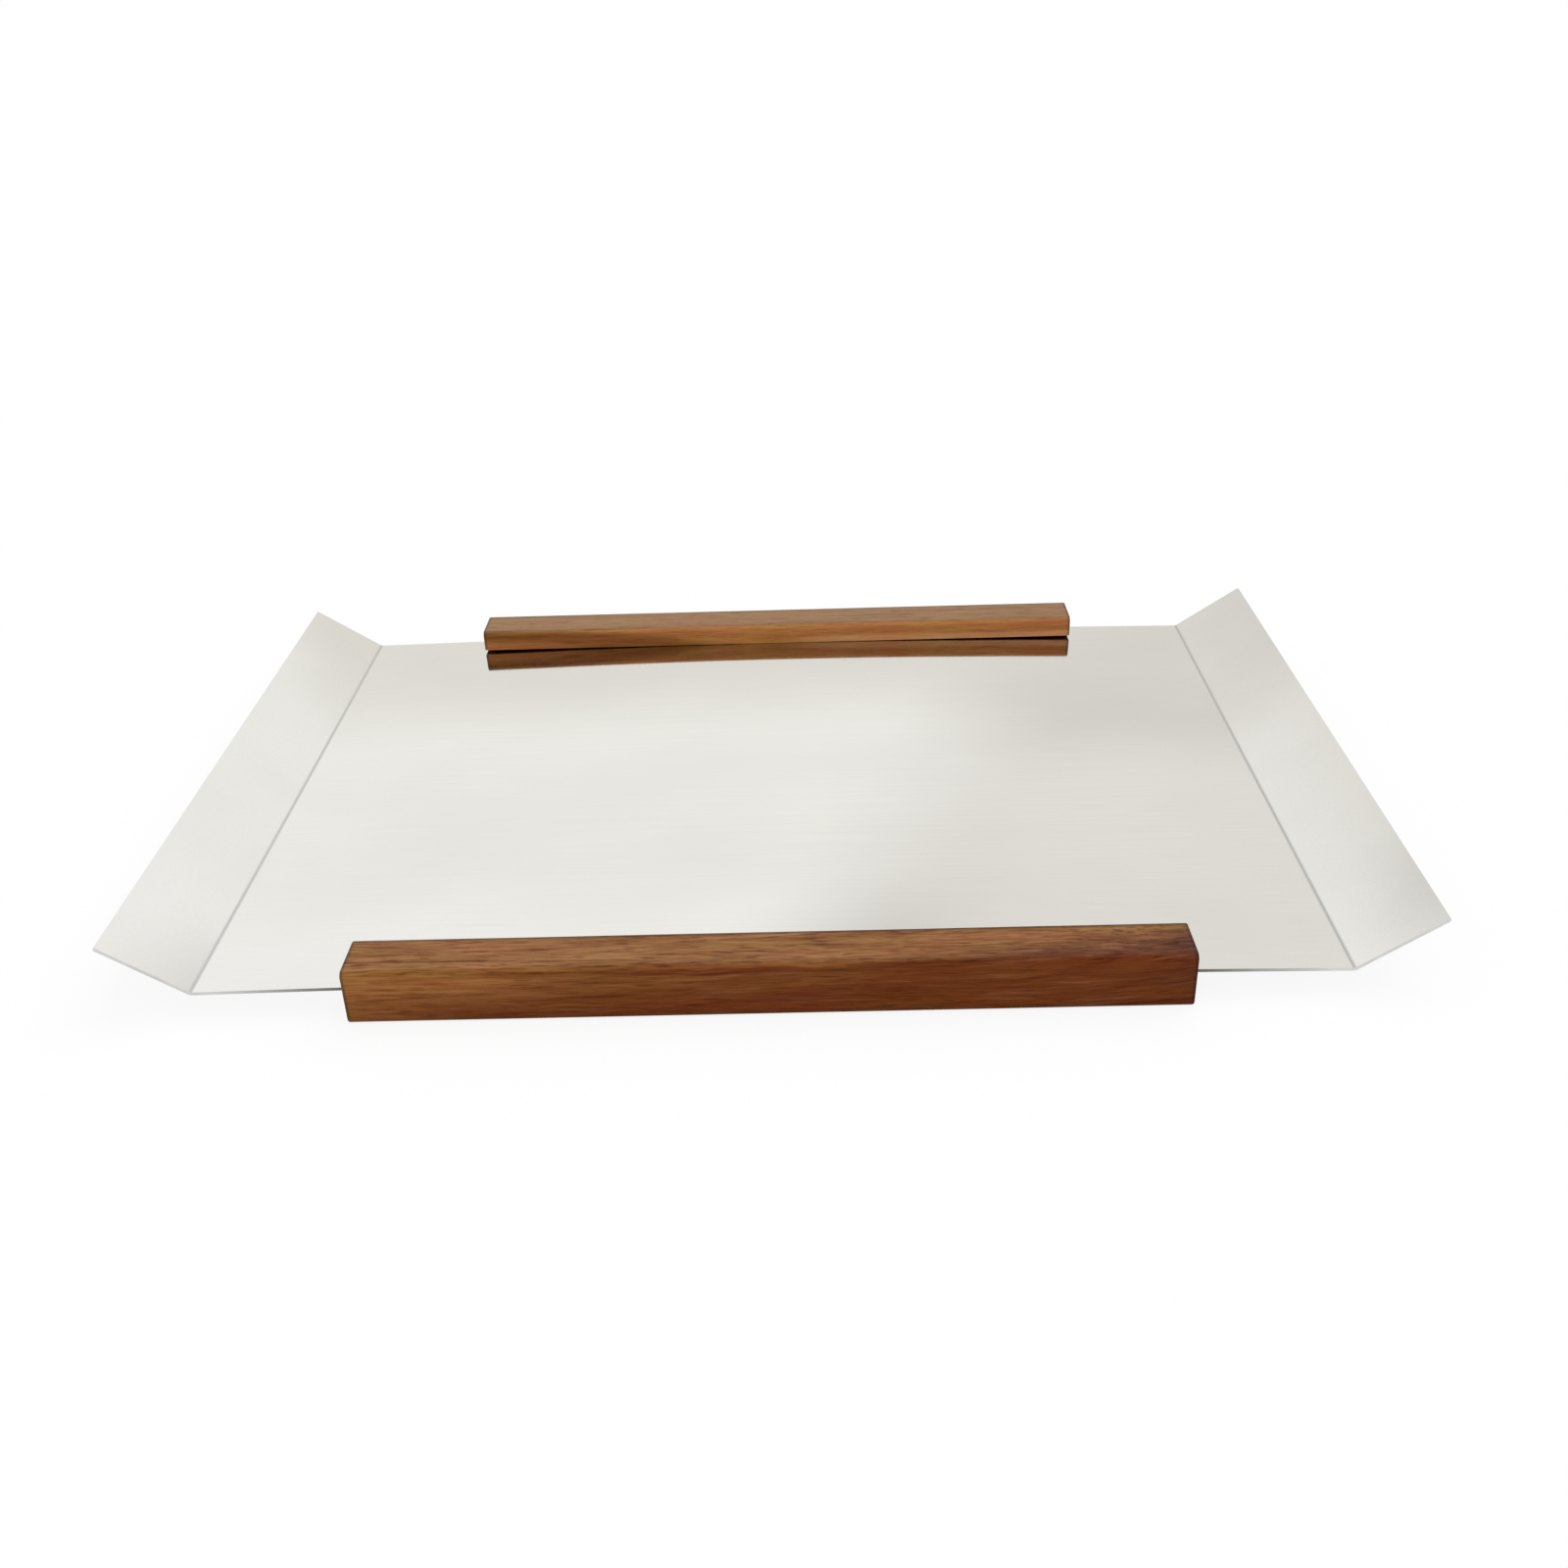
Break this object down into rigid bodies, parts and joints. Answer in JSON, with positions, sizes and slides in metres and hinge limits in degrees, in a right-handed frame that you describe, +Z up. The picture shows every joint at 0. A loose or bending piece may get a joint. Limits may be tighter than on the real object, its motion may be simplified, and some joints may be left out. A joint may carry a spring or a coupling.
{
  "type": "serving tray",
  "caption": "Rectangular serving tray: a mirror-polished steel sheet with its short ends folded up as wings, held along its long edges in grooved wooden bars that serve as handles and feet.",
  "frame": {"origin": "middle of the footprint, on the surface that the two bars stand on", "axes": "+X along the tray towards its right wing, +Y from the front bar to the rear bar, +Z up"},
  "size_m": [0.4508, 0.3046, 0.0286],
  "materials": {
    "polished_steel": "polished",
    "oiled_walnut": "satin",
    "screw_steel": "satin"
  },
  "bodies": {
    "root": {"tray_plate": "polished_steel", "front_bar": "oiled_walnut", "rear_bar": "oiled_walnut", "front_screw_left": "screw_steel", "front_screw_middle": "screw_steel", "front_screw_right": "screw_steel", "rear_screw_left": "screw_steel", "rear_screw_middle": "screw_steel", "rear_screw_right": "screw_steel"}
  },
  "joints": []
}
